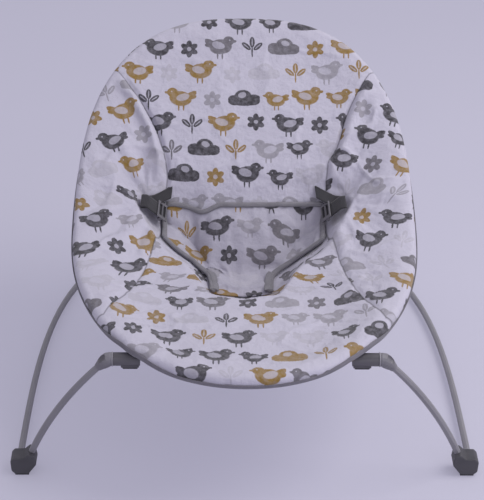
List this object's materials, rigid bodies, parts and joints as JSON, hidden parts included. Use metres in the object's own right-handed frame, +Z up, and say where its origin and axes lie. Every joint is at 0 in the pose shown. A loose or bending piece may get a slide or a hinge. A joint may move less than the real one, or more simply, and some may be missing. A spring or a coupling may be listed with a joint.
{
  "type": "baby_bouncer",
  "caption": "Baby bouncer with a printed fabric bucket seat on an oval tube ring, swivelling side hubs, spring wire arms and a U-shaped wire base with faceted feet",
  "frame": {"origin": "centre of the bounding box on the floor plane the feet stand on", "axes": "+X to the right seen from the foot end, +Y from the foot end towards the head end, +Z up"},
  "size_m": [0.5438, 0.6816, 0.3865],
  "materials": {
    "powder_coated_steel": "satin warm grey powder coat on steel wire and tube",
    "foot_nylon": "fine-grained moulded nylon, dark grey",
    "hub_nylon": "satin moulded nylon, mid grey",
    "trim_nylon": "satin moulded nylon, pale grey",
    "button_nylon": "fine-grained moulded nylon, near black",
    "rubber": "soft matt rubber",
    "zinc_plated_steel": "zinc-plated steel",
    "printed_cotton": "white woven cotton with a small two-tone grey and ochre print",
    "binding_tape": "grey woven edge binding",
    "webbing": "flat charcoal polyester webbing"
  },
  "bodies": {
    "base": {"base_rail": "powder_coated_steel", "foot_left": "foot_nylon", "foot_right": "foot_nylon", "foot_screw_left": "zinc_plated_steel", "foot_screw_right": "zinc_plated_steel", "foot_sole_left": "rubber", "foot_sole_right": "rubber", "rear_grip_left": "rubber", "rear_grip_right": "rubber"},
    "arms": {"hub_elbow_left": "hub_nylon", "hub_elbow_right": "hub_nylon", "spring_arm_left": "powder_coated_steel", "spring_arm_right": "powder_coated_steel"},
    "seat": {"cover_hem": "printed_cotton", "edge_binding": "binding_tape", "hub_housing_left": "hub_nylon", "hub_housing_right": "hub_nylon", "hub_washer_left": "trim_nylon", "hub_washer_right": "trim_nylon", "lock_spring_left": "zinc_plated_steel", "lock_spring_right": "zinc_plated_steel", "pivot_screw_left": "zinc_plated_steel", "pivot_screw_right": "zinc_plated_steel", "seat_bow_back": "powder_coated_steel", "seat_bow_front": "powder_coated_steel", "seat_sling": "printed_cotton", "socket_screw_back_left": "zinc_plated_steel", "socket_screw_back_right": "zinc_plated_steel", "socket_screw_front_left": "zinc_plated_steel", "socket_screw_front_right": "zinc_plated_steel", "waist_panel": "printed_cotton", "webbing_left": "webbing", "webbing_right": "webbing"},
    "button_left": {"lock_button_left": "button_nylon"},
    "button_right": {"lock_button_right": "button_nylon"},
    "slider_left": {"strap_slider_left": "trim_nylon"},
    "slider_right": {"strap_slider_right": "trim_nylon"}
  },
  "joints": [
    {"name": "bounce", "type": "hinge", "parent": "base", "child": "arms", "pos_m": [0, -0.25022, 0.0228], "axis": [1, 0, 0], "range_deg": [-4, 2.5], "stiffness_Nm_per_rad": 80, "springref_deg": 1.49, "deforming": ["spring_arm_left", "spring_arm_right"]},
    {"name": "fold", "type": "hinge", "parent": "arms", "child": "seat", "pos_m": [0, -0.27222, 0.163], "axis": [1, 0, 0], "range_deg": [-22, 0]},
    {"name": "lock_button_left", "type": "slide", "parent": "seat", "child": "button_left", "axis": [0, 0, 1], "range_m": [0, 0.001], "stiffness_N_per_m": 500, "springref_m": -0.001, "deforming": ["lock_spring_left"]},
    {"name": "lock_button_right", "type": "slide", "parent": "seat", "child": "button_right", "axis": [0, 0, 1], "range_m": [0, 0.001], "stiffness_N_per_m": 500, "springref_m": -0.001, "deforming": ["lock_spring_right"]},
    {"name": "strap_adjust_left", "type": "slide", "parent": "seat", "child": "slider_left", "axis": [0.6625, -0.2611, 0.7021], "range_m": [0, 0.01]},
    {"name": "strap_adjust_right", "type": "slide", "parent": "seat", "child": "slider_right", "axis": [-0.6625, -0.2611, 0.7021], "range_m": [0, 0.01]}
  ]
}
